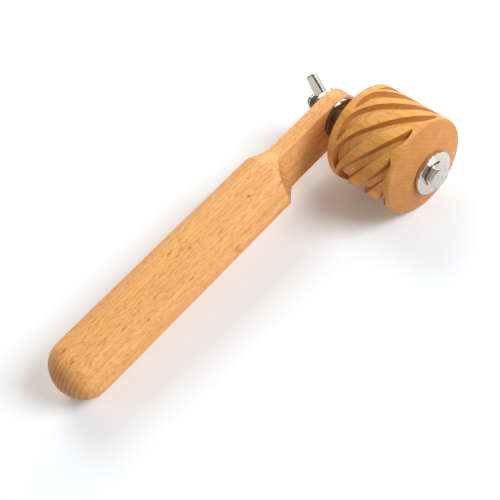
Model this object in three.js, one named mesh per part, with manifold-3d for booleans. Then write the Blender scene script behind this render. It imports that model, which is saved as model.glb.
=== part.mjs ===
// A clay texture roller: a carved wooden roller on a bolt at the end of a turned wooden handle.
// Millimetres, +Z up. It lies as it is put down: the roller and the tail of the handle touch z = 0.
import * as THREE from 'three';
import { mergeVertices } from 'three/addons/utils/BufferGeometryUtils.js';
import Module from 'manifold-3d';

const wasm = await Module();
wasm.setup();

// Roller
const roller_diameter = 48.5;
const roller_rim_width = 39;            // from edge to edge of the cylinder
const crown_height = 3.95;              // the domed ends stand this far out of the rims
const crown_fullness = 0.36;            // 0.5 would be a plain cone
const seat_diameter = 21.4;             // the flat in the middle of each end, for the washers
const rim_rounding = 1.4;

// Carved pattern
const groove_count = 9;
const groove_reach_deg = 138.6;         // how far round the roller one groove runs
const groove_depth = 2.8;
const groove_tip_depth = 0.85;          // a groove runs out to this depth at its points
const groove_full_width = 2.8;          // from this width on, it has its full depth
const groove_rim_front = 2.45;          // plain wood between the pattern and the front edge
const groove_rim_back = 4.25;
const groove_wall_slope_deg = 17;
const groove_phase_deg = 113.3;         // where the middle of one groove lies, from +X towards +Z
const groove_steps = 27;                // slices along one groove
const groove_tip_share = 0.985;         // the very points are left out, where the groove has no width
const groove_cut_room = 1;              // how far a groove's cutter stands out of the wood

// Handle
const handle_length = 185;              // bolt axis to the end of the tail
const grip_front_diameter = 29.7;
const grip_tail_diameter = 30.9;
const tail_dome_length = 13.9;
const tongue_thickness = 8.7;
const tongue_height = 23.4;
const tongue_drop = 0.4;                // the tongue's middle lies this far under the bolt's axis
const grip_offset = 0.85;               // the grip's axis lies this far off the tongue's middle
const shoulder_distance = 48.5;         // bolt axis to the cuts at the end of the grip
const near_cove_length = 9.4;           // the cut from the grip to the roller's side of the tongue
const near_cove_hollow = 1;             // how deep that cut is hollowed between its ends
const far_cove_radius = 9.6;            // the round cove on the wing nut's side
const neck_distance = 47.2;             // bolt axis to the edge where the grip starts to narrow
const neck_diameter = 24.6;             // turned down to this where the tongue begins
const upper_ramp_length = 13.2;         // the slope from the grip to the tongue's upper edge
const lower_ramp_length = 4.5;
const ramp_bend = 0.66;                 // each slope bends most at this share of its length

// Bolt, a quarter inch with 20 threads to the inch
const bolt_diameter = 6.35;
const bolt_length = 80;
const head_across_flats = 11.11;
const head_height = 3.95;
const head_face_diameter = 10.5;        // the hexagon's corners are turned off down to this circle
const head_chamfer_deg = 29;
const head_turn_deg = -22.7;            // how the hexagon happens to stand
const bolt_end_chamfer = 0.7;

// Washers
const washer_diameter = 21.7;
const washer_thickness = 1.8;
const washer_hole = 7.1;
const washer_rounding = 0.25;

// Wing nut
const hub_height = 7.2;
const hub_base_diameter = 12;
const hub_end_diameter = 8.8;
const hub_foot_height = 1.2;            // the straight foot under the hub's taper
const hub_rounding = 0.5;
const wing_span = 30.2;
const wing_height = 13.6;
const wing_thickness = 3;
const wing_lean_deg = 44;               // each wing leans out this far from the bolt's axis
const wing_tip_width = 5.8;             // across the squared tip
const wing_foot_reach = 8.9;            // from the bolt's axis to the wing's lower corner
const wing_foot_height = 1.4;           // the wing's underside over the hub's
const wing_root_drop = 0.8;             // the wing leaves the hub this far under its end
const wing_rounding = 1.1;              // how far from each corner its rounding starts
const wing_bevel = 0.7;                 // round the edges of both broad faces
const wing_turn_deg = 65;               // the raised wing, from +X towards +Z

// Fits
const bore_clearance = 0.35;            // all round the bolt, in the wood and in the nut
const running_gap = 0.3;                // between faces that turn on each other
const roller_play = 8.2;                // room that the loose nut leaves behind the roller
const cut_room = 2;                     // how far cutting outlines reach past what they cut

const roller_radius = roller_diameter / 2;
const roller_width = roller_rim_width + 2 * crown_height;
const bolt_radius = bolt_diameter / 2;
const bore_radius = bolt_radius + bore_clearance;

// Places along the bolt, from the front end of the roller towards the wing nut
const head_washer_y = -running_gap - washer_thickness;
const head_y = head_washer_y - head_height;
const tongue_washer_y = roller_width + roller_play;
const tongue_y = tongue_washer_y + washer_thickness;
const nut_washer_y = tongue_y + tongue_thickness;
const nut_y = nut_washer_y + washer_thickness + running_gap;
const grip_axis_y = tongue_y + tongue_thickness / 2 - grip_offset;

const degrees = THREE.MathUtils.degToRad;

// Turns a closed three.js geometry into a solid for cutting and joining
function solid(geometry) {
  const plain = geometry.clone();
  plain.deleteAttribute('normal');
  plain.deleteAttribute('uv');
  const merged = mergeVertices(plain, 1e-4);
  const mesh = new wasm.Mesh({
    numProp: 3,
    vertProperties: new Float32Array(merged.attributes.position.array),
    triVerts: new Uint32Array(merged.index.array),
  });
  return new wasm.Manifold(mesh);
}

// Turns a finished solid back into a three.js geometry
function geometryOf(body) {
  const mesh = body.getMesh();
  const geometry = new THREE.BufferGeometry();
  geometry.setAttribute('position', new THREE.BufferAttribute(new Float32Array(mesh.vertProperties), 3));
  geometry.setIndex(new THREE.BufferAttribute(new Uint32Array(mesh.triVerts), 1));
  geometry.computeVertexNormals();
  return geometry;
}

// A round form about the bolt's axis, from [radius, y] corners
function turned(corners, segments) {
  const outline = corners.map(([radius, y]) => new THREE.Vector2(radius, y));
  return new THREE.LatheGeometry(outline, segments);
}

// A round bar along the bolt's axis, for cutting holes
function bar(radius, from, to, segments = 32) {
  return solid(turned([[0, from], [radius, from], [radius, to], [0, to]], segments));
}

// Roller: a turned blank with a domed face at each end, then the grooves.
// One end's outline, from the flat seat over the dome and the rounded rim to the cylinder
function endFace(y, outward) {
  const seat = seat_diameter / 2;
  const rim_y = y - outward * crown_height;
  const round_y = rim_y - outward * rim_rounding;
  const rim_start = roller_radius - rim_rounding;
  const dome = new THREE.QuadraticBezierCurve(
    new THREE.Vector2(seat, y),
    new THREE.Vector2((seat + rim_start) / 2, y - outward * crown_height * crown_fullness),
    new THREE.Vector2(rim_start, rim_y),
  );
  const corners = dome.getPoints(5).map((point) => [point.x, point.y]);
  const rim_steps = 4;
  for (let i = 1; i <= rim_steps; i += 1) {
    const angle = (Math.PI / 2) * i / rim_steps;
    corners.push([
      rim_start + rim_rounding * Math.sin(angle),
      round_y + outward * rim_rounding * Math.cos(angle),
    ]);
  }
  return corners;
}

function rollerBlank() {
  const front = [[bore_radius, 0], ...endFace(0, -1)];
  const back = [...endFace(roller_width, 1).reverse(), [bore_radius, roller_width]];
  return solid(turned([...front, ...back, [bore_radius, 0]], 72));
}

// A groove is a long S between two edges that meet in a point at each end. Across, 1 is half of
// its reach round the roller; up, 1 is half of the pattern's width.
function grooveEdge(corners) {
  return new THREE.SplineCurve(corners.map(([across, up]) => new THREE.Vector2(across, up))).getPoints(120);
}

const far_edge = grooveEdge([
  [-1, -0.89], [-0.87, -0.85], [-0.66, -0.635], [-0.46, -0.375], [-0.17, 0.05],
  [0.15, 0.555], [0.44, 0.895], [0.67, 1], [0.85, 0.995], [1, 0.965],
]);
const near_edge = grooveEdge([
  [-1, -0.89], [-0.93, -0.99], [-0.8, -1.025], [-0.66, -0.965], [-0.53, -0.83], [-0.35, -0.6],
  [-0.13, -0.32], [0.15, 0.065], [0.45, 0.455], [0.75, 0.775], [0.9, 0.9], [1, 0.965],
]);

function edgeHeight(edge, across) {
  const next = Math.max(1, edge.findIndex((point) => point.x >= across));
  const [a, b] = [edge[next - 1], edge[next]];
  return a.y + (b.y - a.y) * (across - a.x) / (b.x - a.x);
}

function grooveCutter(middle_deg) {
  const pattern_half = (roller_rim_width - groove_rim_front - groove_rim_back) / 2;
  const pattern_y = crown_height + groove_rim_front + pattern_half;
  const slope = Math.tan(degrees(groove_wall_slope_deg));
  const positions = [];
  for (let i = 0; i <= groove_steps; i += 1) {
    const across = groove_tip_share * (2 * i / groove_steps - 1);
    const angle = degrees(middle_deg + across * groove_reach_deg / 2);
    const high = pattern_y + pattern_half * edgeHeight(far_edge, across);
    const low = pattern_y + pattern_half * edgeHeight(near_edge, across);
    const width = high - low;
    const openness = Math.min(1, width / groove_full_width);
    const depth = groove_tip_depth + (groove_depth - groove_tip_depth) * openness;
    const inset = Math.min(depth * slope, width / 3);
    const outset = groove_cut_room * inset / depth;
    for (const [radius, y] of [
      [roller_radius + groove_cut_room, low - outset],
      [roller_radius + groove_cut_room, high + outset],
      [roller_radius - depth, high - inset],
      [roller_radius - depth, low + inset],
    ]) {
      positions.push(radius * Math.cos(angle), y, radius * Math.sin(angle));
    }
  }
  const faces = [0, 2, 1, 0, 3, 2];
  for (let i = 0; i < groove_steps; i += 1) {
    for (let side = 0; side < 4; side += 1) {
      const a = 4 * i + side;
      const b = 4 * i + (side + 1) % 4;
      faces.push(a, b, b + 4, a, b + 4, a + 4);
    }
  }
  const last = 4 * groove_steps;
  faces.push(last, last + 1, last + 2, last, last + 2, last + 3);
  const geometry = new THREE.BufferGeometry();
  geometry.setAttribute('position', new THREE.Float32BufferAttribute(positions, 3));
  geometry.setIndex(faces);
  return solid(geometry);
}

function rollerGeometry() {
  let body = rollerBlank();
  for (let i = 0; i < groove_count; i += 1) {
    body = body.subtract(grooveCutter(groove_phase_deg + i * 360 / groove_count));
  }
  return geometryOf(body);
}

// Handle: a turned grip, cut down to a flat tongue that the bolt goes through
const front_radius = grip_front_diameter / 2;
const tail_radius = grip_tail_diameter / 2;
const neck_radius = neck_diameter / 2;
const tongue_top = tongue_height / 2 - tongue_drop;
const tongue_bottom = -tongue_height / 2 - tongue_drop;
const dome_x = -handle_length + tail_dome_length;

function gripBlank() {
  const corners = [];
  const steps = 9;
  for (let i = 0; i <= steps; i += 1) {
    const angle = degrees(90 * i / steps);
    corners.push([tail_radius * Math.sin(angle), dome_x - tail_dome_length * Math.cos(angle)]);
  }
  corners[0][0] = 0;
  const neck = new THREE.QuadraticBezierCurve(
    new THREE.Vector2(front_radius, -neck_distance),
    new THREE.Vector2(neck_radius, -neck_distance + ramp_bend * upper_ramp_length),
    new THREE.Vector2(neck_radius, -neck_distance + upper_ramp_length),
  );
  neck.getPoints(6).forEach((point) => corners.push([point.x, point.y]));
  corners.push([neck_radius, tongue_height], [0, tongue_height]);
  return solid(turned(corners, 48).rotateZ(-Math.PI / 2).translate(0, grip_axis_y, 0));
}

// The side view: hollow slopes from the grip to the tongue's edges, and the tongue's round end
function sideView() {
  const room = tail_radius + cut_room;
  const start = -neck_distance;
  const low_end = start + lower_ramp_length;
  const high_end = start + upper_ramp_length;
  const shape = new THREE.Shape();
  shape.moveTo(-handle_length - cut_room, -room);
  shape.lineTo(start, -room);
  shape.lineTo(start, -front_radius);
  shape.quadraticCurveTo(start + ramp_bend * lower_ramp_length, tongue_bottom, low_end, tongue_bottom);
  shape.lineTo(0, tongue_bottom);
  shape.absarc(0, -tongue_drop, tongue_height / 2, -Math.PI / 2, Math.PI / 2);
  shape.lineTo(high_end, tongue_top);
  shape.quadraticCurveTo(start + ramp_bend * upper_ramp_length, tongue_top, start, front_radius);
  shape.lineTo(start, room);
  shape.lineTo(-handle_length - cut_room, room);
  const width = 4 * room;
  const plate = new THREE.ExtrudeGeometry(shape, { depth: width, bevelEnabled: false, curveSegments: 10 });
  return solid(plate.rotateX(Math.PI / 2).translate(0, grip_axis_y + width / 2, 0));
}

// How far a cove of this radius turns while it cuts this deep, up to a quarter of a circle
function coveTurn(radius, depth) {
  return Math.acos(Math.max(0, 1 - depth / radius));
}

// The view from above: a cut from the grip's skin to each flat side of the tongue, nearly straight
// and meeting it in an edge on the roller's side, a round cove on the other
function topView() {
  const room = tail_radius + cut_room;
  const near = tongue_y;
  const far = tongue_y + tongue_thickness;
  const near_start = new THREE.Vector2(-shoulder_distance, grip_axis_y - front_radius);
  const near_end = new THREE.Vector2(-shoulder_distance + near_cove_length, near);
  const chord = near_end.clone().sub(near_start);
  const into_wood = new THREE.Vector2(-chord.y, chord.x).setLength(2 * near_cove_hollow);
  const near_bend = near_start.clone().lerp(near_end, 0.5).add(into_wood);
  const far_turn = coveTurn(far_cove_radius, grip_axis_y + front_radius - far);
  const far_end = -shoulder_distance + far_cove_radius * Math.sin(far_turn);
  const up = Math.PI / 2;
  const shape = new THREE.Shape();
  shape.moveTo(-handle_length - cut_room, grip_axis_y - room);
  shape.lineTo(-shoulder_distance - cut_room / 4, grip_axis_y - room);
  shape.lineTo(near_start.x, near_start.y);
  shape.quadraticCurveTo(near_bend.x, near_bend.y, near_end.x, near_end.y);
  shape.lineTo(tongue_height, near);
  shape.lineTo(tongue_height, far);
  shape.absarc(far_end, far + far_cove_radius, far_cove_radius, -up, -up - far_turn, true);
  shape.lineTo(-shoulder_distance - cut_room / 4, grip_axis_y + room);
  shape.lineTo(-handle_length - cut_room, grip_axis_y + room);
  const height = 4 * room;
  const plate = new THREE.ExtrudeGeometry(shape, { depth: height, bevelEnabled: false, curveSegments: 10 });
  return solid(plate.translate(0, 0, -height / 2));
}

function handleGeometry() {
  const hole = bar(bore_radius, tongue_y - cut_room, tongue_y + tongue_thickness + cut_room);
  return geometryOf(gripBlank().intersect(sideView()).intersect(topView()).subtract(hole));
}

// Washer: stamped, so its outer corners are a little round
function washerGeometry(y) {
  const outer = washer_diameter / 2;
  const inner = washer_hole / 2;
  const top = y + washer_thickness;
  const soft = washer_rounding;
  return turned([
    [inner, y], [outer - soft, y], [outer, y + soft],
    [outer, top - soft], [outer - soft, top], [inner, top], [inner, y],
  ], 60);
}

// Bolt: a hexagon with its corners turned off, and a plain shank
function boltGeometry() {
  const corner = head_across_flats / Math.sqrt(3);
  const face = head_face_diameter / 2;
  const middle_y = head_y + head_height / 2;
  const hexagon = new THREE.CylinderGeometry(corner, corner, head_height, 6);
  hexagon.rotateY(Math.PI / 2 - degrees(head_turn_deg)).translate(0, middle_y, 0);
  const widest = corner + cut_room;
  const cone = turned([
    [0, head_y], [face, head_y], [widest, head_y + (widest - face) * Math.tan(degrees(head_chamfer_deg))],
    [widest, head_washer_y], [0, head_washer_y],
  ], 48);
  const end = head_washer_y + bolt_length;
  const shank = turned([
    [0, middle_y], [bolt_radius, middle_y],
    [bolt_radius, end - bolt_end_chamfer], [bolt_radius - bolt_end_chamfer, end], [0, end],
  ], 32);
  return geometryOf(solid(hexagon).intersect(solid(cone)).add(solid(shank)));
}

// A closed outline through corners, each given as [x, y, how far from it its rounding starts]
function roundedShape(corners) {
  const shape = new THREE.Shape();
  corners.forEach(([x, y, rounding], i) => {
    const corner = new THREE.Vector2(x, y);
    const neighbours = [corners.at(i - 1), corners.at((i + 1) % corners.length)];
    const [before, after] = neighbours.map(([nx, ny]) => (
      new THREE.Vector2(nx, ny).sub(corner).setLength(rounding).add(corner)
    ));
    if (i === 0) {
      shape.moveTo(before.x, before.y);
    } else {
      shape.lineTo(before.x, before.y);
    }
    if (rounding > 0) {
      shape.quadraticCurveTo(x, y, after.x, after.y);
    }
  });
  return shape;
}

// Wing nut: a tapered hub with two wings that lean outwards and end in a squared tip
function wing() {
  const lean = degrees(wing_lean_deg);
  const top = new THREE.Vector2(wing_span / 2 - wing_tip_width * Math.cos(lean), wing_height);
  const root_height = hub_height - wing_root_drop;
  const root_x = top.x - (wing_height - root_height) * Math.tan(lean);
  const shape = roundedShape([
    [bore_radius / 2, wing_foot_height, 0],
    [wing_foot_reach, wing_foot_height, wing_rounding],
    [wing_span / 2, wing_height - wing_tip_width * Math.sin(lean), wing_rounding],
    [top.x, top.y, wing_rounding],
    [root_x, root_height, 0],
    [bore_radius / 2, root_height, 0],
  ]);
  const plate = new THREE.ExtrudeGeometry(shape, {
    depth: wing_thickness - 2 * wing_bevel,
    bevelThickness: wing_bevel,
    bevelSize: wing_bevel,
    bevelOffset: -wing_bevel,
    bevelSegments: 2,
    curveSegments: 5,
  });
  return plate.translate(0, 0, wing_bevel - wing_thickness / 2);
}

function wingNutGeometry() {
  const foot = hub_base_diameter / 2;
  const end = hub_end_diameter / 2;
  const hub = turned([
    [0, 0], [foot, 0], [foot, hub_foot_height],
    [end, hub_height - hub_rounding], [end - hub_rounding, hub_height], [0, hub_height],
  ], 36);
  const body = solid(hub).add(solid(wing())).add(solid(wing().rotateY(Math.PI)));
  const nut = geometryOf(body.subtract(bar(bore_radius, -cut_room, wing_height)));
  return nut.rotateY(-degrees(wing_turn_deg)).translate(0, nut_y, 0);
}

// Finishes
function finish(color, roughness, metalness) {
  return new THREE.MeshStandardMaterial({ color, roughness, metalness });
}

const tool = new THREE.Group();

function addPiece(name, geometry, material) {
  const mesh = new THREE.Mesh(geometry, material);
  mesh.name = name;
  tool.add(mesh);
}

addPiece('handle', handleGeometry(), finish(0xe0a867, 0.5, 0));
addPiece('texture_roller', rollerGeometry(), finish(0xdc9450, 0.5, 0));
addPiece('hex_bolt', boltGeometry(), finish(0xb4b2ae, 0.3, 1));
addPiece('head_washer', washerGeometry(head_washer_y), finish(0xc6c4c0, 0.35, 1));
addPiece('tongue_washer', washerGeometry(tongue_washer_y), finish(0xc6c4c0, 0.15, 1));
addPiece('nut_washer', washerGeometry(nut_washer_y), finish(0xc6c4c0, 0.3, 1));
addPiece('wing_nut', wingNutGeometry(), finish(0xbdb9b2, 0.4, 1));

// Lay the tool down: the handle dips until the dome of its tail touches the ground too
let dip = 0;
for (let i = 0; i < 6; i += 1) {
  const reach = Math.hypot(tail_dome_length * Math.sin(dip), tail_radius * Math.cos(dip));
  dip = Math.asin((roller_radius - reach) / -dome_x);
}
tool.rotation.y = -dip;
tool.position.z = roller_radius;
tool.updateMatrixWorld(true);

// The origin is under the middle of the whole tool
const box = new THREE.Box3().setFromObject(tool, true);
const model = new THREE.Group();
model.add(tool);
model.position.set(-(box.min.x + box.max.x) / 2, -(box.min.y + box.max.y) / 2, -box.min.z);

export default model;
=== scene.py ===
# A clay texture roller lying on a white table top: beech handle, carved beech roller, and zinc-plated
# bolt, washers and wing nut. The tool's lengths are in millimetres until piece() turns them into metres.
import math
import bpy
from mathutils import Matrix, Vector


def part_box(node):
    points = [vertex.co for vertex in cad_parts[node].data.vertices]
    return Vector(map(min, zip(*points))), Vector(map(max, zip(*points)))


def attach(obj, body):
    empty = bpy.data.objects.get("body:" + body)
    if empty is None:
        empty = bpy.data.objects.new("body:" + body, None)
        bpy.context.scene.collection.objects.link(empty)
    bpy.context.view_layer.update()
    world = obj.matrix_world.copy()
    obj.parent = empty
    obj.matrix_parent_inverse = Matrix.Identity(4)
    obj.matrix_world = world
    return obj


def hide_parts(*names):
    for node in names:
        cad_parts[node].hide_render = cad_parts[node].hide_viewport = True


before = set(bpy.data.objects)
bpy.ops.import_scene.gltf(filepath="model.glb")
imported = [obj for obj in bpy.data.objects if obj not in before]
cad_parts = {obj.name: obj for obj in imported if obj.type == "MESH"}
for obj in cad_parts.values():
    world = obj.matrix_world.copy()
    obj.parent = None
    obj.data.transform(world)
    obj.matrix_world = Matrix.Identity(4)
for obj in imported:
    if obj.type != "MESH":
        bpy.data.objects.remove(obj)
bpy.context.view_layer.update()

from types import SimpleNamespace

import bmesh
import bpy
import numpy as np
from mathutils import Matrix, Vector

mm = 0.001                              # a millimetre, in metres

# Roller
roller_diameter = 48.46                 # a hair under the turned blank's 48.5
roller_rim_width = 39
crown_height = 3.95                     # how far each end's dome stands out from the rim
crown_fullness = 0.36                   # the dome bends towards this share of its height below the seat
seat_diameter = 21.4                    # the flat round the bore, where the washer lies
seat_margin = 0.4                       # keeps the seat's shading flat almost to its edge
rim_rounding = 1.4
bore_chamfer = 0.5

# Carved pattern: slanting, S-curved, lens-shaped grooves, each beginning beside the last
groove_count = 9
groove_reach_deg = 138.6                # how far each runs round the roller
groove_phase_deg = 113.3
groove_depth = 2.8
groove_tip_depth = 0.85
groove_full_width = 2.8                 # where a groove is this wide, it is at its full depth
groove_rim_front = 2.45                 # plain wood between the front rim and the pattern
groove_rim_back = 4.25
groove_wall = 1.05                      # how far in from its edge a groove reaches its floor

# A groove's two long edges, as shares of half its reach round the roller and half its length along it
groove_far_edge = [
    (-1, -0.89), (-0.87, -0.85), (-0.66, -0.635), (-0.46, -0.375), (-0.17, 0.05),
    (0.15, 0.555), (0.44, 0.895), (0.67, 1), (0.85, 0.995), (1, 0.965),
]
groove_near_edge = [
    (-1, -0.89), (-0.93, -0.99), (-0.8, -1.025), (-0.66, -0.965), (-0.53, -0.83), (-0.35, -0.6),
    (-0.13, -0.32), (0.15, 0.065), (0.45, 0.455), (0.75, 0.775), (0.9, 0.9), (1, 0.965),
]

# Handle
handle_length = 184.98                  # from the bolt's axis to the tail, a hair under 185
grip_front_diameter = 29.7
grip_tail_diameter = 30.9
tail_dome_length = 13.9
tongue_thickness = 8.7
tongue_height = 23.4
tongue_drop = 0.4                       # how far the tongue's middle lies below the bolt's axis
grip_offset = 0.85                      # how far the grip's axis lies from the tongue's middle
shoulder_distance = 48.5                # from the bolt's axis to where the cuts beside the tongue begin
near_cove_length = 9.4
near_cove_hollow = 1                    # how far the cut on the roller's side bows into the wood
far_cove_radius = 9.6
neck_distance = 47.2                    # from the bolt's axis to where the slopes begin
neck_diameter = 24.6
upper_ramp_length = 13.2
lower_ramp_length = 4.5
ramp_bend = 0.66                        # each slope bends most at this share of its length

# Bolt
bolt_diameter = 6.35
bolt_length = 80
bolt_chamfer = 0.7
bolt_fillet = 0.3
bolt_pitch = 1.27
thread_length = 19.05
thread_depth = 0.61 * bolt_pitch
thread_runout = 0.2
head_across_flats = 11.11
head_height = 3.95
head_face_diameter = 10.5
head_face_drop = 0.05                   # the round face's edge is let down this far
head_chamfer_deg = 29
head_corner_rounding = 0.35
head_foot_diameter = 9.6                # the round foot that the hexagon stands on
head_foot_height = 0.55
head_turn_deg = -22.7
edge_softening = 0.06                   # on the hexagon's edges
flat_margin = 0.3                       # keeps the hexagon's sides' shading flat almost to their edges

# Washers
washer_diameter = 21.7
washer_thickness = 1.8
washer_hole = 7.1
washer_edge_rounding = 0.3
washer_hole_softening = 0.15
washer_flat_margin = 4                  # keeps the flat faces' shading flat up to here from the edge

# Wing nut
hub_height = 7.2
hub_base_diameter = 12
hub_end_diameter = 8.8
hub_end_chamfer = 0.5
hub_foot_height = 1.2
wing_span = 30.2
wing_height = 13.6
wing_thickness = 3
wing_lean_deg = 44
wing_tip_width = 5.8
wing_foot_reach = 8.9                   # how far out the wings' lower edge runs level
wing_foot_height = 1.4
wing_root_drop = 0.8                    # how far below the hub's end the wings' upper edge meets it
wing_rounding = 1.1
wing_bevel = 0.8
wing_turn_deg = 65

# Fits
bore_clearance = 0.35
running_gap = 0.3                       # before the roller's front, and under the wing nut
roller_play = 8.2                       # between the roller's back and the tongue's washer
cut_room = 2                            # how far cutting blocks reach past what they cut

roller_radius = roller_diameter / 2
roller_width = roller_rim_width + 2 * crown_height
bolt_radius = bolt_diameter / 2
bore_radius = bolt_radius + bore_clearance
head_washer_y = -running_gap - washer_thickness
head_y = head_washer_y - head_height
bolt_end_y = head_washer_y + bolt_length
thread_start_y = bolt_end_y - thread_length
tongue_washer_y = roller_width + roller_play
tongue_y = tongue_washer_y + washer_thickness
nut_washer_y = tongue_y + tongue_thickness
nut_y = nut_washer_y + washer_thickness + running_gap
grip_axis_y = tongue_y + tongue_thickness / 2 - grip_offset
tail_radius = grip_tail_diameter / 2
front_radius = grip_front_diameter / 2
neck_radius = neck_diameter / 2

# The tool's own frame: the bolt's axis along Y from the roller's front, the handle towards -X. It lies
# dipped, so that the tail's dome touches the table as the roller does. bolt_point is its origin, in metres.
dome_x = -handle_length + tail_dome_length
dip = 0.0
for _ in range(6):
    dome_reach = math.hypot(tail_dome_length * math.sin(dip), tail_radius * math.cos(dip))
    dip = math.asin((roller_radius - dome_reach) / -dome_x)
low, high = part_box("texture_roller")
bolt_point = Vector(((low.x + high.x) / 2, low.y, (low.z + high.z) / 2))
dipped = Matrix.Rotation(-dip, 4, "Y")
tool_place = Matrix.Translation(bolt_point) @ dipped @ Matrix.Diagonal((mm, mm, mm, 1))


# From a shape to a piece
def piece(name, points, faces, body, node, slot, material):
    """A finished piece of the tool, in its place and on its body."""
    mesh = bpy.data.meshes.new(name)
    mesh.from_pydata([tool_place @ Vector(point) for point in points], [], faces)
    shell = bmesh.new()
    shell.from_mesh(mesh)
    bmesh.ops.recalc_face_normals(shell, faces=shell.faces)
    shell.to_mesh(mesh)
    shell.free()
    mesh.polygons.foreach_set("use_smooth", [True] * len(mesh.polygons))
    mesh.materials.append(material)
    mesh.update()
    made = bpy.data.objects.new(name, mesh)
    bpy.context.scene.collection.objects.link(made)
    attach(made, body)
    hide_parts(node)
    return made


def pick(made):
    """Selects one object and nothing else."""
    bpy.context.view_layer.objects.active = made
    for other in bpy.context.selected_objects:
        other.select_set(False)
    made.select_set(True)


def crease(made, angle_deg):
    """Keeps edges sharper than this angle crisp."""
    pick(made)
    bpy.ops.object.shade_smooth_by_angle(angle=math.radians(angle_deg))


# Shapes: each maker hands back points in millimetres in the tool's frame, and faces
def ring_faces(rows, columns, closed):
    """Quads between rings of points; a closed form's last ring meets its first."""
    faces = []
    for i in range(rows if closed else rows - 1):
        a, b = i * columns, (i + 1) % rows * columns
        for j in range(columns):
            k = (j + 1) % columns
            faces.append((a + j, a + k, b + k, b + j))
    return faces


def solid(rings, columns, start_y, end_y):
    """Rings of points about the Y axis, closed at each end by a fan to a point on the axis."""
    rows = len(rings) // columns
    faces = ring_faces(rows, columns, False)
    start, end = len(rings), len(rings) + 1
    last_ring = (rows - 1) * columns
    for j in range(columns):
        k = (j + 1) % columns
        faces.append((start, k, j))
        faces.append((end, last_ring + j, last_ring + k))
    return [*rings, (0, start_y, 0), (0, end_y, 0)], faces


def round_steps(columns):
    """The angles of one turn, in equal steps."""
    return np.linspace(0, 2 * math.pi, columns, endpoint=False)


def arc(centre, radius, start_deg, end_deg, steps):
    """Points on an arc, its two ends among them."""
    turns = [math.radians(start_deg + (end_deg - start_deg) * i / steps) for i in range(steps + 1)]
    return [(centre[0] + radius * math.cos(turn), centre[1] + radius * math.sin(turn)) for turn in turns]


def bend(a, b, c, steps):
    """Points of a curve from a to c that turns towards b on its way."""
    shares = [i / steps for i in range(steps + 1)]
    return [
        tuple((1 - t) ** 2 * a[n] + 2 * t * (1 - t) * b[n] + t * t * c[n] for n in (0, 1))
        for t in shares
    ]


def rounded(corners, steps):
    """An outline through corners, each given as (x, y, how far from it its rounding starts)."""
    outline = []
    for i, (x, y, rounding_shaded_dull) in enumerate(corners):
        corner = Vector((x, y))
        ways = [Vector(corners[(i + step) % len(corners)][:2]) - corner for step in (-1, 1)]
        before, after = (corner + rounding_shaded_dull * way.normalized() for way in ways)
        outline += bend(before, corner, after, steps) if rounding_shaded_dull else [(x, y)]
    return outline


def through(knots, count):
    """A smooth curve through knots, as count points, by Catmull and Rom's rule."""
    knots = np.array([2 * np.array(knots[0]) - knots[1], *knots, 2 * np.array(knots[-1]) - knots[-2]])
    t = np.linspace(0, len(knots) - 3 - 1e-9, count)
    i = t.astype(int)
    f = (t - i)[:, None]
    a, b, c, d = (knots[i + n] for n in range(4))
    square, cube = 2 * a - 5 * b + 4 * c - d, 3 * b - a - 3 * c + d
    return 0.5 * (2 * b + (c - a) * f + square * f**2 + cube * f**3)


# Roller: a turned blank whose cylinder is let down into nine grooves
def groove_depths(angles_deg, ys):
    """How deep the carving is at each place along the roller and each angle round it."""
    half = (roller_rim_width - groove_rim_front - groove_rim_back) / 2
    middle = crown_height + groove_rim_front + half
    reach = groove_reach_deg / 2
    reach_mm = roller_radius * math.radians(reach)
    far, near = (through(edge, 400) for edge in (groove_far_edge, groove_near_edge))
    far_lean, near_lean = (
        np.cos(np.arctan(np.gradient(edge[:, 1], edge[:, 0]) * half / reach_mm)) for edge in (far, near)
    )
    depths = np.zeros((len(ys), len(angles_deg)))
    for k in range(groove_count):
        across = (angles_deg - groove_phase_deg - k * 360 / groove_count + 180) % 360 - 180
        across = across / reach
        far_y = middle + half * np.interp(across, far[:, 0], far[:, 1])
        near_y = middle + half * np.interp(across, near[:, 0], near[:, 1])
        from_far = (far_y - ys[:, None]) * np.interp(across, far[:, 0], far_lean)
        from_near = (ys[:, None] - near_y) * np.interp(across, near[:, 0], near_lean)
        opened = np.minimum(1, np.maximum(far_y - near_y, 0) / groove_full_width)
        full = groove_tip_depth + (groove_depth - groove_tip_depth) * opened
        wall = np.clip(np.minimum(from_far, from_near) / groove_wall, 0, 1)
        cut = full * (wall * wall * (3 - 2 * wall)) * (np.abs(across) < 1)
        depths = np.maximum(depths, cut)
    return depths


def end_profile(y, outward):
    """One end from the bore over the seat and the dome to the rim's rounding, as (radius, y). outward
    is -1 at the front and 1 at the back."""
    seat = seat_diameter / 2
    rim_start = roller_radius - rim_rounding
    rim_y = y - outward * crown_height
    dome_bend = ((seat + rim_start) / 2, y - outward * crown_height * crown_fullness)
    corners = [(bore_radius + bore_chamfer, y), (seat - seat_margin, y)]
    corners += bend((seat, y), dome_bend, (rim_start, rim_y), 12)
    for radius, height in arc((rim_start, 0), rim_rounding, 90, 0, 8)[1:]:
        corners.append((radius, rim_y - outward * (rim_rounding - height)))
    return corners


def roller_shape():
    columns, row_spacing = 900, 0.2
    front = [(bore_radius, bore_chamfer), *end_profile(0, -1)]
    back = [*end_profile(roller_width, 1)[::-1], (bore_radius, roller_width - bore_chamfer)]
    start, end = front[-1][1], back[0][1]
    ys = np.linspace(start, end, int((end - start) / row_spacing))[1:-1]
    radii = np.vstack([
        np.repeat([[radius] for radius, _ in front], columns, axis=1),
        roller_radius - groove_depths(np.linspace(0, 360, columns, endpoint=False), ys),
        np.repeat([[radius] for radius, _ in back], columns, axis=1),
    ])
    places = np.concatenate([[y for _, y in front], ys, [y for _, y in back]])
    turns = round_steps(columns)
    along = np.repeat(places[:, None], columns, axis=1)
    grid = np.stack([radii * np.cos(turns), along, radii * np.sin(turns)], axis=-1)
    return grid.reshape(-1, 3), ring_faces(len(places), columns, True)


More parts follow.
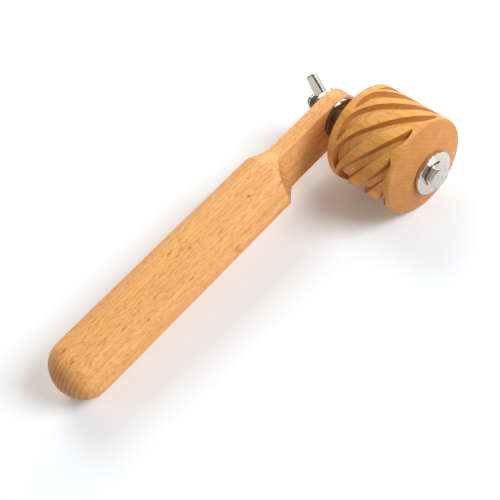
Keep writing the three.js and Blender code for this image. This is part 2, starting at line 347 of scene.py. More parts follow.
# Solids that are cut and joined, then given softly sanded or cast edges
def plate(outline, depth_from, depth_to, upright):
    """A flat outline drawn in x and z if upright, else in x and y, made thick along the third way."""
    count = len(outline)
    if upright:
        points = [(x, depth, z) for depth in (depth_from, depth_to) for x, z in outline]
    else:
        points = [(x, y, depth) for depth in (depth_from, depth_to) for x, y in outline]
    faces = [tuple(range(count)), tuple(range(2 * count - 1, count - 1, -1))]
    faces += [(i, count + i, count + (i + 1) % count, (i + 1) % count) for i in range(count)]
    return points, faces


def lathe(corners, columns):
    """A closed turned form about the Y axis, from (radius, y) corners that start and end on it."""
    angles = round_steps(columns)
    rings = [(r * math.cos(a), y, r * math.sin(a)) for r, y in corners[1:-1] for a in angles]
    return solid(rings, columns, corners[0][1], corners[-1][1])


def block(points, faces):
    """A passing object to cut with, all its faces out."""
    mesh = bpy.data.meshes.new("block")
    mesh.from_pydata([Vector(point) for point in points], [], faces)
    made = bpy.data.objects.new("block", mesh)
    bpy.context.scene.collection.objects.link(made)
    pick(made)
    bpy.ops.object.mode_set(mode="EDIT")
    bpy.ops.mesh.select_all(action="SELECT")
    bpy.ops.mesh.normals_make_consistent(inside=False)
    bpy.ops.object.mode_set(mode="OBJECT")
    return made


def worked(base, steps, voxel, passes):
    """Cuts and joins blocks, then rounds every edge a little; gives the points and faces."""
    for kind, tool in steps:
        cut = base.modifiers.new(kind, "BOOLEAN")
        cut.operation = kind
        cut.solver = "EXACT"
        cut.object = tool
    skin = base.modifiers.new("skin", "REMESH")
    skin.mode = "VOXEL"
    skin.voxel_size = voxel
    skin.adaptivity = 0
    sand = base.modifiers.new("sand", "SMOOTH")
    sand.factor = 0.5
    sand.iterations = passes
    held = base.evaluated_get(bpy.context.evaluated_depsgraph_get()).to_mesh()
    points = [tuple(vertex.co) for vertex in held.vertices]
    faces = [tuple(face.vertices) for face in held.polygons]
    for used in [base, *(tool for _, tool in steps)]:
        bpy.data.objects.remove(used)
    return points, faces


def handle_shape():
    # The turned form: the tail's dome, the grip and the neck
    dome = [(tail_radius * math.sin(a), dome_x - tail_dome_length * math.cos(a))
            for a in np.linspace(0, math.pi / 2, 25)]
    start = -neck_distance
    neck = bend((front_radius, start), (neck_radius, start + ramp_bend * upper_ramp_length),
                (neck_radius, start + upper_ramp_length), 16)
    profile = [(0, -handle_length), *dome[1:], *neck, (neck_radius, tongue_height), (0, tongue_height)]
    points, faces = lathe(profile, 160)
    grip = block([(along, grip_axis_y + across, up) for across, along, up in points], faces)

    # The side view: slopes from the grip to the tongue's edges, and the tongue's round end
    room = tail_radius + cut_room
    behind = -handle_length - cut_room
    half = tongue_height / 2
    bottom, top = -half - tongue_drop, half - tongue_drop
    side = [(behind, -room), (start, -room)]
    side += bend((start, -front_radius), (start + ramp_bend * lower_ramp_length, bottom),
                 (start + lower_ramp_length, bottom), 12)
    side += arc((0, -tongue_drop), half, -90, 90, 48)
    side += bend((start + upper_ramp_length, top), (start + ramp_bend * upper_ramp_length, top),
                 (start, front_radius), 16)
    side += [(start, room), (behind, room)]

    # The view from above: a nearly straight cut to the tongue on the roller's side, a round cove beyond
    near, far = tongue_y, tongue_y + tongue_thickness
    shoulder = -shoulder_distance
    near_start = Vector((shoulder, grip_axis_y - front_radius))
    near_end = Vector((shoulder + near_cove_length, near))
    chord = near_end - near_start
    into_wood = Vector((-chord.y, chord.x)).normalized() * 2 * near_cove_hollow
    far_turn = math.acos(max(0, 1 - (grip_axis_y + front_radius - far) / far_cove_radius))
    far_middle = (shoulder + far_cove_radius * math.sin(far_turn), far + far_cove_radius)
    step_back = shoulder - cut_room / 4
    above = [(behind, grip_axis_y - room), (step_back, grip_axis_y - room)]
    above += bend(near_start, (near_start + near_end) / 2 + into_wood, near_end, 16)
    above += [(tongue_height, near), (tongue_height, far)]
    above += arc(far_middle, far_cove_radius, -90, -90 - math.degrees(far_turn), 20)
    above += [(step_back, grip_axis_y + room), (behind, grip_axis_y + room)]

    side_cut = block(*plate(side, grip_axis_y - 2 * room, grip_axis_y + 2 * room, True))
    flat_cut = block(*plate(above, -2 * room, 2 * room, False))
    hole = block(*lathe([
        (0, near - cut_room), (bore_radius, near - cut_room),
        (bore_radius, far + cut_room), (0, far + cut_room),
    ], 64))
    steps = [("INTERSECT", side_cut), ("INTERSECT", flat_cut), ("DIFFERENCE", hole)]
    return worked(grip, steps, voxel=0.4, passes=3)


def washer_shape(y):
    angles = round_steps(192)
    outer, inner, top = washer_diameter / 2, washer_hole / 2, y + washer_thickness
    edge, soft = washer_edge_rounding, washer_hole_softening
    corners = [(inner, y + soft), (inner + soft, y), (outer - washer_flat_margin, y)]
    corners += arc((outer - edge, y + edge), edge, -90, 0, 5)
    corners += arc((outer - edge, top - edge), edge, 0, 90, 5)
    corners += [(outer - washer_flat_margin, top), (inner + soft, top), (inner, top - soft)]
    points = [(r * math.cos(a), y, r * math.sin(a)) for r, y in corners for a in angles]
    return points, ring_faces(len(corners), len(angles), True)


def hexagon_radius(angle):
    """Distance from the middle of the bolt's head to its side, at an angle from one corner."""
    flat = head_across_flats / 2
    sixth = math.pi / 6
    from_corner = abs((angle + sixth) % (2 * sixth) - sixth)
    corner = (flat - head_corner_rounding) / math.cos(sixth)
    tangent = sixth - math.atan((flat - head_corner_rounding) * math.tan(sixth) / flat)
    if from_corner < tangent:
        aside = corner * math.sin(from_corner)
        return corner * math.cos(from_corner) + math.sqrt(head_corner_rounding**2 - aside**2)
    return flat / math.cos(sixth - from_corner)


def thread_cuts(angles, y):
    """How deep the right-hand thread is cut at each angle: an eighth of its pitch is root, a quarter
    crest and the rest slopes, and it runs out at both ends."""
    turn = (y / bolt_pitch + angles / (2 * math.pi)) % 1
    root, slopes = 1 / 8, 5 / 8
    first_runout, last_runout, last_share = bolt_pitch, 0.4 * bolt_pitch, 0.3
    standing = np.clip((np.abs(turn - 0.5) * 2 - root) / slopes, 0, 1)
    starting = min(1, max(0, (y - thread_start_y) / first_runout))
    ending = min(1, max(0, (bolt_end_y - y) / last_runout + last_share))
    return thread_depth * (1 - standing) * starting * ending


def bolt_shape():
    """Head, foot, shank and thread as rings of (radius, y), a radius being one number or one for each
    angle."""
    columns, rings_a_pitch = 240, 14
    angles = round_steps(columns)
    face, foot = head_face_diameter / 2, head_foot_diameter / 2
    slope = math.tan(math.radians(head_chamfer_deg))
    hexagon = np.array([hexagon_radius(a - math.radians(head_turn_deg)) for a in angles])
    chamfer_y = head_y + head_face_drop
    foot_y = head_washer_y - head_foot_height
    rings = [(face * share, head_y) for share in (0.35, 0.7, 0.94, 0.985)]
    for share in (0, 0.15, 0.5, 0.85):
        rings.append((face + (hexagon - face) * share, chamfer_y + (hexagon - face) * share * slope))
    for drop in (edge_softening, flat_margin):
        rings.append((hexagon, chamfer_y + (hexagon - face) * slope + drop))
    rings += [(hexagon, foot_y - flat_margin), (hexagon, foot_y - edge_softening)]
    rings += [(hexagon - edge_softening, foot_y), (foot, foot_y), (foot, head_washer_y)]
    rings += [(bolt_radius + bolt_fillet, head_washer_y), (bolt_radius, head_washer_y + bolt_fillet)]
    rings.append((bolt_radius, thread_start_y - thread_runout))
    for y in np.arange(thread_start_y, bolt_end_y - bolt_chamfer, bolt_pitch / rings_a_pitch):
        rings.append((bolt_radius - thread_cuts(angles, y), y))
    for share in (0, 0.5, 1):
        y = bolt_end_y - bolt_chamfer * (1 - share)
        threaded = bolt_radius - thread_cuts(angles, y)
        rings.append((np.minimum(threaded, bolt_radius - bolt_chamfer * share), y))
    rings.append((bolt_radius * 0.4, bolt_end_y))
    points = []
    for radius, y in rings:
        ring = np.broadcast_arrays(radius * np.cos(angles), y, radius * np.sin(angles))
        points += np.stack(ring, axis=-1).tolist()
    return solid(points, columns, head_y, bolt_end_y)


def wing_outline():
    """One wing seen square on: along the wing's span, and up the bolt's axis."""
    lean = math.radians(wing_lean_deg)
    top_x = wing_span / 2 - wing_tip_width * math.cos(lean)
    root_height = hub_height - wing_root_drop
    return rounded([
        (bolt_radius / 2, wing_foot_height, 0),
        (wing_foot_reach, wing_foot_height, wing_rounding),
        (wing_span / 2, wing_height - wing_tip_width * math.sin(lean), wing_rounding),
        (top_x, wing_height, wing_rounding),
        (top_x - (wing_height - root_height) * math.tan(lean), root_height, 0),
        (bolt_radius / 2, root_height, 0),
    ], 8)


def wing_nut_shape():
    foot, end = hub_base_diameter / 2, hub_end_diameter / 2
    hub = block(*lathe([
        (0, 0), (foot, 0), (foot, hub_foot_height),
        (end, hub_height - hub_end_chamfer), (end - hub_end_chamfer, hub_height), (0, hub_height),
    ], 96))
    half = wing_thickness / 2
    steps = []
    for side in (1, -1):
        wing = block(*plate([(side * x, y) for x, y in wing_outline()], -half, half, False))
        edges = wing.modifiers.new("edges", "BEVEL")
        edges.width = wing_bevel
        edges.segments = 4
        edges.limit_method = "ANGLE"
        edges.angle_limit = math.radians(50)
        steps.append(("UNION", wing))
    below, above = -cut_room / 2, hub_height + cut_room / 2
    hole = [(0, below), (bore_radius, below), (bore_radius, above), (0, above)]
    steps.append(("DIFFERENCE", block(*lathe(hole, 64))))
    points, faces = worked(hub, steps, voxel=0.17, passes=2)
    turn = math.radians(wing_turn_deg)
    return [
        (x * math.cos(turn) - z * math.sin(turn), y + nut_y, x * math.sin(turn) + z * math.cos(turn))
        for x, y, z in points
    ], faces


# Finishes
def colour(hex_code):
    """An sRGB hex colour as linear red, green, blue and alpha."""
    values = [int(hex_code[i:i + 2], 16) / 255 for i in (1, 3, 5)]
    return [v / 12.92 if v <= 0.04045 else ((v + 0.055) / 1.055) ** 2.4 for v in values] + [1.0]


def feed(tree, node, inputs):
    """Sets a node's inputs, named or numbered, each to a value, the output that feeds it, or a node,
    whose first output in use feeds it."""
    for key, value in inputs.items():
        if isinstance(key, int):
            socket = node.inputs[key]
        else:
            socket = next(s for s in node.inputs if s.name == key and s.enabled)
        if isinstance(value, bpy.types.Node):
            value = next(s for s in value.outputs if s.enabled)
        if isinstance(value, bpy.types.NodeSocket):
            tree.links.new(value, socket)
        else:
            socket.default_value = value


def put(tree, kind, inputs=None, **settings):
    """Adds one node with its settings and links."""
    made = tree.nodes.new(kind)
    for name, value in settings.items():
        setattr(made, name, value)
    feed(tree, made, inputs or {})
    return made


def empty_tree(owner):
    """The node tree of a material or world, with nothing in it."""
    owner.use_nodes = True
    owner.node_tree.nodes.clear()
    return owner.node_tree


def finish(name):
    """A new finish: its material, tree and shader, and the surface's normal and its point in
    millimetres in the tool's frame."""
    material = bpy.data.materials.new(name)
    tree = empty_tree(material)
    shader = put(tree, "ShaderNodeBsdfPrincipled")
    put(tree, "ShaderNodeOutputMaterial", {"Surface": shader})
    here = put(tree, "ShaderNodeTexCoord")
    point = put(tree, "ShaderNodeMapping", {
        "Vector": here.outputs["Object"], "Location": tuple(bolt_point),
        "Rotation": (0, -dip, 0), "Scale": (mm, mm, mm),
    }, vector_type="TEXTURE")
    return SimpleNamespace(
        material=material, tree=tree, shader=shader, point=point, normal=here.outputs["Normal"])


ring_width_mm = 2.1
ring_bend_mm = 2.5                      # how far the rings wave in and out
along_x, along_y = (1.0, 0.0, 0.0), (0.0, 1.0, 0.0)


def drawn_out(tree, point, grain, along_mm, across_mm):
    """Where to look up a pattern whose marks are this long along the fibres and this wide across."""
    scales = [1 / along_mm if way else 1 / across_mm for way in grain]
    return put(tree, "ShaderNodeMapping", {"Vector": point, "Scale": scales})


def growth_rings(tree, point, grain, heart):
    """Rings about the middle line of the tree: 0 in a ring's pale wood, rising to 1 at its outside."""
    bent = put(tree, "ShaderNodeTexNoise", {
        "Vector": drawn_out(tree, point, grain, 160, 14), "Scale": 1, "Detail": 2,
    })
    centred = put(tree, "ShaderNodeVectorMath", {0: point, 1: heart}, operation="SUBTRACT")
    flat = put(tree, "ShaderNodeVectorMath", {0: centred, 1: [1 - way for way in grain]},
               operation="MULTIPLY")
    reach = put(tree, "ShaderNodeVectorMath", {0: flat}, operation="LENGTH")
    waved = put(tree, "ShaderNodeMath", {0: bent, 1: ring_bend_mm, 2: reach.outputs["Value"]},
                operation="MULTIPLY_ADD")
    count = put(tree, "ShaderNodeMath", {0: waved, 1: ring_width_mm}, operation="DIVIDE")
    phase = put(tree, "ShaderNodeMath", {0: count}, operation="FRACT")
    rise = put(tree, "ShaderNodeMapRange", {"Value": phase, "From Min": 0.3, "From Max": 0.85},
               interpolation_type="SMOOTHSTEP")
    fall = put(tree, "ShaderNodeMapRange", {
        "Value": phase, "From Min": 0.88, "From Max": 1, "To Min": 1, "To Max": 0,
    })
    return put(tree, "ShaderNodeMath", {0: rise, 1: fall}, operation="MULTIPLY")


def ray_flecks(tree, point, grain, cell_mm, core, edge, least, strength):
    """Soft lozenges, one in each cell, solid out to core and gone at edge, as shares of the cell. Each
    is as strong as its own random number says, and one with a number under least doesn't show."""
    cell = put(tree, "ShaderNodeTexVoronoi", {
        "Vector": drawn_out(tree, point, grain, *cell_mm), "Scale": 1, "Randomness": 1,
    }, distance="MANHATTAN")
    lozenge = put(tree, "ShaderNodeMapRange", {
        "Value": cell.outputs["Distance"], "From Min": core, "From Max": edge, "To Min": 1, "To Max": 0,
    }, interpolation_type="SMOOTHSTEP")
    chance = put(tree, "ShaderNodeSeparateColor", {"Color": cell.outputs["Color"]})
    kept = put(tree, "ShaderNodeMapRange", {
        "Value": chance.outputs["Red"], "From Min": least, "From Max": 1, "To Max": strength,
    })
    return put(tree, "ShaderNodeMath", {0: lozenge, 1: kept}, operation="MULTIPLY")


def squarely(made, way):
    """How squarely a finish's surface faces one way or its opposite, from 0 to 1."""
    facing = put(made.tree, "ShaderNodeVectorMath", {0: made.normal, 1: way}, operation="DOT_PRODUCT")
    return put(made.tree, "ShaderNodeMath", {0: facing.outputs["Value"]}, operation="ABSOLUTE")


def beech(name, grain, heart, light, dark, ring, fleck, fibres, end_light, end_dark, end_rings):
    """Beech, turned, sanded and oiled: even, straight-grained orange-tan wood with faint growth rings,
    fine broken fibres and short dark ray flecks. Where the cut crosses the fibres it is darker and shows
    its rings and pores. grain is the way of the fibres and heart a point on the middle line of the
    tree; fibres and end_rings say how strongly those show. Hands back the finish with its wood."""
    made = finish(name)
    tree, point = made.tree, made.point

    # Broad streaks of lighter and darker wood, some 5 mm wide and 90 mm long
    streak = put(tree, "ShaderNodeTexNoise", {
        "Vector": drawn_out(tree, point, grain, 90, 5), "Scale": 1, "Detail": 3,
    })
    streak = put(tree, "ShaderNodeMapRange", {"Value": streak, "From Min": 0.34, "From Max": 0.66})
    wood = put(tree, "ShaderNodeMix", {"Factor": streak, "A": colour(dark), "B": colour(light)},
               data_type="RGBA")

    # Growth rings, which show only faintly along the fibres
    ringed = growth_rings(tree, point, grain, heart)
    ring_share = put(tree, "ShaderNodeMath", {0: ringed, 1: 0.16}, operation="MULTIPLY")
    wood = put(tree, "ShaderNodeMix", {"Factor": ring_share, "A": wood, "B": colour(ring)},
               data_type="RGBA")

    # Fibres in broken streaks, drawn 0.38 mm wide: real ones are finer than a pixel
    fibre = put(tree, "ShaderNodeTexNoise", {
        "Vector": drawn_out(tree, point, grain, 3.6, 0.38), "Scale": 1, "Detail": 3, "Roughness": 0.6,
    })
    thin = put(tree, "ShaderNodeMapRange", {
        "Value": fibre, "From Min": 0.5, "From Max": 0.63, "To Max": fibres,
    })
    wood = put(tree, "ShaderNodeMix", {"Factor": thin, "A": wood, "B": colour(ring)}, data_type="RGBA")

    # Ray flecks: many faint dashes up to 3 mm long, and fewer, darker lozenges up to 6 mm long
    dashes = ray_flecks(tree, point, grain, (3.4, 0.85), 0.2, 0.42, 0.3, 0.5)
    wood = put(tree, "ShaderNodeMix", {"Factor": dashes, "A": wood, "B": colour(fleck)},
               data_type="RGBA")
    lozenges = ray_flecks(tree, point, grain, (9.0, 3.0), 0.22, 0.32, 0.25, 0.9)
    wood = put(tree, "ShaderNodeMix", {"Factor": lozenges, "A": wood, "B": colour(fleck)},
               data_type="RGBA")

    # End grain, which comes in as the surface turns square to the fibres: dark rings, pale streaks, and
    # pores drawn 0.5 mm wide, as real ones are too fine to show
    crossed = put(tree, "ShaderNodeMapRange", {
        "Value": squarely(made, grain), "From Min": 0.25, "From Max": 0.9,
    }, interpolation_type="SMOOTHSTEP")
    pore = put(tree, "ShaderNodeTexNoise", {
        "Vector": drawn_out(tree, point, grain, 40, 0.5), "Scale": 1, "Detail": 3,
    })
    pore = put(tree, "ShaderNodeMapRange", {"Value": pore, "From Min": 0.35, "From Max": 0.7})
    end_share = put(tree, "ShaderNodeMath", {0: ringed, 1: end_rings}, operation="MULTIPLY")
    end_share = put(tree, "ShaderNodeMath", {0: pore, 1: 0.25, 2: end_share}, operation="MULTIPLY_ADD")
    end_share = put(tree, "ShaderNodeMath", {0: streak, 1: -0.3, 2: end_share}, operation="MULTIPLY_ADD")
    end_share = put(tree, "ShaderNodeMath", {0: end_share, 1: 0.25}, operation="ADD")
    end = put(tree, "ShaderNodeMix", {
        "Factor": end_share, "A": colour(end_light), "B": colour(end_dark),
    }, data_type="RGBA")
    made.wood = put(tree, "ShaderNodeMix", {"Factor": crossed, "A": wood, "B": end}, data_type="RGBA")

    # Oil leaves a soft shine, a little duller along the open fibres. They stand up slightly, and the
    # lozenges lie slightly sunk.
    gloss = put(tree, "ShaderNodeMapRange", {
        "Value": fibre, "From Min": 0.3, "From Max": 0.7, "To Min": 0.5, "To Max": 0.6,
    })
    height = put(tree, "ShaderNodeMath", {0: lozenges, 1: -0.4, 2: fibre}, operation="MULTIPLY_ADD")
    bump = put(tree, "ShaderNodeBump", {"Height": height, "Strength": 0.3, "Distance": 0.1 * mm})
    feed(tree, made.shader, {"Base Color": made.wood, "Roughness": gloss, "Normal": bump})
    return made


handle_beech = beech(
    "turned_oiled_beech", along_x, (0, 135, 30), light="#F8BE76", dark="#ECAB62", ring="#CB7A32",
    fleck="#B9672A", fibres=0.75, end_light="#DE9A55", end_dark="#A45C28", end_rings=0.5)

# The carved roller: the grooves' steep walls are darker, painted shade with some oil lying darker there as
# well, and the cutter has left their floors paler, with fine marks that run round the roller
roller_beech = beech(
    "carved_oiled_beech", along_y, (-46, 0, -39), light="#F3B45C", dark="#DE983A", ring="#BE6E24",
    fleck="#C27A38", fibres=0.4, end_light="#D48D47", end_dark="#A8622C", end_rings=0.12)
floor_from, floor_full = 0.15, 0.9      # how deep the floors' tone begins and is full
rim_from, rim_full = 0.5, 1.2           # how far in from the rims the carving's tones begin and are full
tree, point = roller_beech.tree, roller_beech.point
from_bolt = put(tree, "ShaderNodeVectorMath", {0: point, 1: (1, 0, 1)}, operation="MULTIPLY")
radius = put(tree, "ShaderNodeVectorMath", {0: from_bolt}, operation="LENGTH")
let_down = put(tree, "ShaderNodeMapRange", {
    "Value": radius.outputs["Value"],
    "From Min": roller_radius - floor_from, "From Max": roller_radius - floor_full,
})
outward = put(tree, "ShaderNodeVectorMath", {0: from_bolt}, operation="NORMALIZE")
lean = put(tree, "ShaderNodeVectorMath", {0: roller_beech.normal, 1: outward}, operation="DOT_PRODUCT")
steep = put(tree, "ShaderNodeMapRange", {
    "Value": lean.outputs["Value"], "From Min": 0.97, "From Max": 0.55,
}, interpolation_type="SMOOTHSTEP")
place = put(tree, "ShaderNodeSeparateXYZ", {"Vector": point})
past_front = put(tree, "ShaderNodeMapRange", {
    "Value": place.outputs["Y"],
    "From Min": crown_height + rim_from, "From Max": crown_height + rim_full,
})
past_back = put(tree, "ShaderNodeMapRange", {
    "Value": place.outputs["Y"],
    "From Min": roller_width - crown_height - rim_from,
    "From Max": roller_width - crown_height - rim_full,
})
carved = put(tree, "ShaderNodeMath", {0: past_front, 1: past_back}, operation="MULTIPLY")
on_floor = put(tree, "ShaderNodeMath", {0: let_down, 1: carved}, operation="MULTIPLY")
shaded_walls = put(tree, "ShaderNodeMath", {0: steep, 1: carved}, operation="MULTIPLY")
marks = put(tree, "ShaderNodeMapping", {"Vector": point, "Scale": (1 / 9, 1 / 0.8, 1 / 9)})
mark = put(tree, "ShaderNodeTexNoise", {"Vector": marks, "Scale": 1, "Detail": 2})
mark = put(tree, "ShaderNodeMapRange", {"Value": mark, "From Min": 0.35, "From Max": 0.65})
floor_wood = put(tree, "ShaderNodeMix", {
    "Factor": mark, "A": colour("#E8AC54"), "B": colour("#FBCF82"),
}, data_type="RGBA")
floor_share = put(tree, "ShaderNodeMath", {0: on_floor, 1: 0.6}, operation="MULTIPLY")
wood = put(tree, "ShaderNodeMix", {"Factor": floor_share, "A": roller_beech.wood, "B": floor_wood},
           data_type="RGBA")
# painted shade: the grooves' steep walls are darkened towards #AC6120
wall_shade_share = put(tree, "ShaderNodeMath", {0: shaded_walls, 1: 0.7}, operation="MULTIPLY")
wood = put(tree, "ShaderNodeMix", {"Factor": wall_shade_share, "A": wood, "B": colour("#AC6120")},
           data_type="RGBA")
feed(tree, roller_beech.shader, {"Base Color": wood})


def plated_steel(name, pale, deep, smooth, dull, grit_mm):
    """Bright zinc plate on steel: a pale grey metal, part mirror and part satin, faintly clouded where
    the plating and handling have left it uneven, with a fine grit. Hands back the finish with its
    colour and its gloss."""
    made = finish(name)
    tree = made.tree
    cloud = put(tree, "ShaderNodeTexNoise", {"Vector": made.point, "Scale": 0.45, "Detail": 4})
    cloud = put(tree, "ShaderNodeMapRange", {"Value": cloud, "From Min": 0.35, "From Max": 0.65})
    made.zinc = put(tree, "ShaderNodeMix", {"Factor": cloud, "A": colour(deep), "B": colour(pale)},
                    data_type="RGBA")
    made.gloss = put(tree, "ShaderNodeMapRange", {"Value": cloud, "To Min": dull, "To Max": smooth})
    grit = put(tree, "ShaderNodeTexNoise", {"Vector": made.point, "Scale": 1 / grit_mm, "Detail": 2})
    bump = put(tree, "ShaderNodeBump", {"Height": grit, "Strength": 0.15, "Distance": 0.03 * mm})
    feed(tree, made.shader, {
        "Base Color": made.zinc, "Metallic": 1, "Roughness": made.gloss, "Normal": bump,
    })
    return made


washer_plate = plated_steel("zinc_plated_stamped_steel", "#D8D6D2", "#CBC8C3", 0.14, 0.2, 0.7)

# The washer by the tongue is a smooth mirror whose metal is painted darker: painted shade, so that the
# shaded gap by the roller shows dark in it
shaded_mirror_plate = plated_steel("polished_steel_painted_dark", "#8A8783", "#7B7874", 0.1, 0.14, 0.7)

# The bolt's head is smooth on its face, and paler and duller on its sides, as is the shank
bolt_plate = plated_steel("zinc_plated_forged_steel", "#D2CFCA", "#C3BFB9", 0.15, 0.22, 0.5)
tree = bolt_plate.tree
sides = put(tree, "ShaderNodeMapRange", {
    "Value": squarely(bolt_plate, along_y), "From Min": 0.25, "From Max": 0.1,
})
side_zinc = put(tree, "ShaderNodeMix", {"Factor": sides, "A": bolt_plate.zinc, "B": colour("#F8F5EE")},
                data_type="RGBA")
side_gloss = put(tree, "ShaderNodeMix", {"Factor": sides, "A": bolt_plate.gloss, "B": 0.42},
                 data_type="FLOAT")
feed(tree, bolt_plate.shader, {"Base Color": side_zinc, "Roughness": side_gloss})

# The wing nut is cast: its broad faces are pale and dull, the rounding about them is dull and painted dark,
# a painted shade, and its narrow edges shine
nut_plate = plated_steel("zinc_plated_cast_steel", "#DEDBD5", "#CFCBC4", 0.12, 0.2, 0.4)
tree = nut_plate.tree
wing_turn = math.radians(wing_turn_deg)
facing = squarely(nut_plate, (-math.sin(wing_turn), 0, math.cos(wing_turn)))
rounding_shaded_dull = put(tree, "ShaderNodeMapRange", {"Value": facing, "From Min": 0.12, "From Max": 0.3},
               interpolation_type="SMOOTHSTEP")
broad = put(tree, "ShaderNodeMapRange", {"Value": facing, "From Min": 0.95, "From Max": 0.995},
            interpolation_type="SMOOTHSTEP")
# painted shade: the rounding about the wings' broad faces is darkened to #5C5A57
cast = put(tree, "ShaderNodeMix", {"Factor": rounding_shaded_dull, "A": nut_plate.zinc, "B": colour("#5C5A57")},
           data_type="RGBA")
cast = put(tree, "ShaderNodeMix", {"Factor": broad, "A": cast, "B": colour("#DEDACE")}, data_type="RGBA")
cast_gloss = put(tree, "ShaderNodeMix", {"Factor": rounding_shaded_dull, "A": nut_plate.gloss, "B": 0.5},
                 data_type="FLOAT")
feed(tree, nut_plate.shader, {"Base Color": cast, "Roughness": cast_gloss})

# Pieces
piece("beech_handle", *handle_shape(), "handle", "handle", "handle_wood", handle_beech.material)
roller = piece("carved_roller", *roller_shape(), "roller", "texture_roller", "roller_wood",
               roller_beech.material)
crease(roller, 40)
bolt = piece("hexagon_bolt", *bolt_shape(), "bolt", "hex_bolt", "bolt_steel", bolt_plate.material)
crease(bolt, 24)
for name, y, body, node, plate_used in (
    ("washer_under_head", head_washer_y, "bolt", "head_washer", washer_plate),
    ("washer_by_tongue", tongue_washer_y, "handle", "tongue_washer", shaded_mirror_plate),
    ("washer_under_nut", nut_washer_y, "handle", "nut_washer", washer_plate),
):
    washer = piece(name, *washer_shape(y), body, node, "washer_steel", plate_used.material)
    crease(washer, 40)
piece("wing_nut_casting", *wing_nut_shape(), "wing_nut", "wing_nut", "nut_metal", nut_plate.material)

# A matt white table top, lifted a little where it is seen or mirrored, so that it is white there and
# still keeps the shadow
table_reach = 2.5                       # metres
table_white = bpy.data.materials.new("matt_white_table_top")
tree = empty_tree(table_white)
matt = put(tree, "ShaderNodeBsdfDiffuse", {"Color": colour("#F1F5FA")})
lift = put(tree, "ShaderNodeEmission", {"Color": colour("#FFFFFF"), "Strength": 0.1})
lifted = put(tree, "ShaderNodeAddShader", {0: matt, 1: lift})
ray = put(tree, "ShaderNodeLightPath")
seen = put(tree, "ShaderNodeMath", {
    0: ray.outputs["Is Camera Ray"], 1: ray.outputs["Is Glossy Ray"],
}, operation="MAXIMUM")
shown = put(tree, "ShaderNodeMixShader", {0: seen, 1: matt, 2: lifted})
put(tree, "ShaderNodeOutputMaterial", {"Surface": shown})
corners = [(x * table_reach, y * table_reach, 0) for x, y in ((-1, -1), (1, -1), (1, 1), (-1, 1))]
table_mesh = bpy.data.meshes.new("table_top")
table_mesh.from_pydata(corners, [], [(0, 1, 2, 3)])
table_mesh.materials.append(table_white)
table_top = bpy.data.objects.new("table_top", table_mesh)
bpy.context.scene.collection.objects.link(table_top)

# Light: a strong, slightly cool soft box high on the bolt head's side and a weaker one high on the wing
# nut's side, both towards the roller's end of the tool, which has two soft shadows from them. Three low
# cards are there for the metal to mirror.
tool_middle = Vector((0, 0, 20 * mm))


def soft_box(name, azimuth_deg, elevation_deg, distance, size, watts, hex_code):
    """An oblong lamp that looks at the middle of the tool, its distance and size in metres; azimuth 0
    is +x and 90 is +y."""
    lamp = bpy.data.lights.new(name, "AREA")
    lamp.shape = "RECTANGLE"
    lamp.size, lamp.size_y = size
    lamp.energy = watts
    lamp.color = colour(hex_code)[:3]
    made = bpy.data.objects.new(name, lamp)
    turn, climb = math.radians(azimuth_deg), math.radians(elevation_deg)
    away = Vector((math.cos(climb) * math.cos(turn), math.cos(climb) * math.sin(turn), math.sin(climb)))
    made.location = tool_middle + away * distance
    made.rotation_euler = away.to_track_quat("Z", "Y").to_euler()
    bpy.context.scene.collection.objects.link(made)


soft_box("far_soft_box", 63, 41, 1.9, (0.95, 0.95), 13.6, "#FFFFFF")
soft_box("near_soft_box", -55, 39, 1.9, (0.85, 0.85), 33.5, "#F0F8FF")
soft_box("white_card", 2, 21, 1.2, (2.3, 0.34), 2.5, "#FFFDF8")
soft_box("small_card", 37, 22, 1.2, (0.45, 0.45), 2.4, "#FFF8EC")
soft_box("grey_card", 141, 28, 1.2, (0.5, 0.4), 1.3, "#FFFFFF")

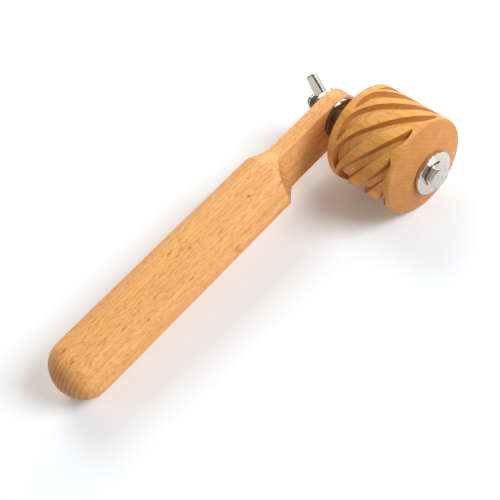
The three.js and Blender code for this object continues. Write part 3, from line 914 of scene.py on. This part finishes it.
# The room gives a faint warm light from all round, except from its dark end. Seen directly it is white.
dark_end = (-0.256, -0.553, 0.793)
world = bpy.data.worlds.new("studio_room")
tree = empty_tree(world)
way = put(tree, "ShaderNodeTexCoord")
towards_dark = put(tree, "ShaderNodeVectorMath", {0: way, 1: dark_end}, operation="DOT_PRODUCT")
strength = put(tree, "ShaderNodeMapRange", {
    "Value": towards_dark.outputs["Value"], "From Min": 0.82, "From Max": 0.96,
    "To Min": 0.3, "To Max": 0.05,
}, interpolation_type="SMOOTHSTEP")
room = put(tree, "ShaderNodeBackground", {"Color": colour("#FFEACF"), "Strength": strength})
white = put(tree, "ShaderNodeBackground", {"Color": colour("#FFFFFF"), "Strength": 1})
ray = put(tree, "ShaderNodeLightPath")
seen = put(tree, "ShaderNodeMixShader", {0: ray.outputs["Is Camera Ray"], 1: room, 2: white})
put(tree, "ShaderNodeOutputWorld", {"Surface": seen})
bpy.context.scene.world = world
bpy.context.scene.view_settings.view_transform = "Standard"

# Camera, worked out from the round edges of the roller, its washer and the tail. bolt_pixel is where the
# middle of the roller's front lies in the photograph, and the distance is in metres.
camera_azimuth = math.radians(-24.827)
camera_elevation = math.radians(52.426)
camera_roll = math.radians(-23.263)
camera_distance = 0.51987
picture_side = 500
focal_pixels = 1145.6
bolt_pixel = (430.83, 171.57)

back = Vector((
    math.sin(camera_azimuth) * math.cos(camera_elevation),
    -math.cos(camera_azimuth) * math.cos(camera_elevation),
    math.sin(camera_elevation),
))
level = Vector((math.cos(camera_azimuth), math.sin(camera_azimuth), 0))
upright = back.cross(level)
right = math.cos(camera_roll) * level + math.sin(camera_roll) * upright
up = math.cos(camera_roll) * upright - math.sin(camera_roll) * level
aside, below = (
    (pixel - picture_side / 2) / focal_pixels * camera_distance for pixel in bolt_pixel
)
camera = bpy.data.cameras.new("camera")
camera.sensor_width = 36
camera.lens = camera.sensor_width * focal_pixels / picture_side
camera.clip_start = 0.01
viewer = bpy.data.objects.new("camera", camera)
viewer.matrix_world = Matrix((
    (right.x, up.x, back.x, 0), (right.y, up.y, back.y, 0), (right.z, up.z, back.z, 0), (0, 0, 0, 1),
))
viewer.location = bolt_point + camera_distance * back - aside * right + below * up
bpy.context.scene.collection.objects.link(viewer)
bpy.context.scene.camera = viewer
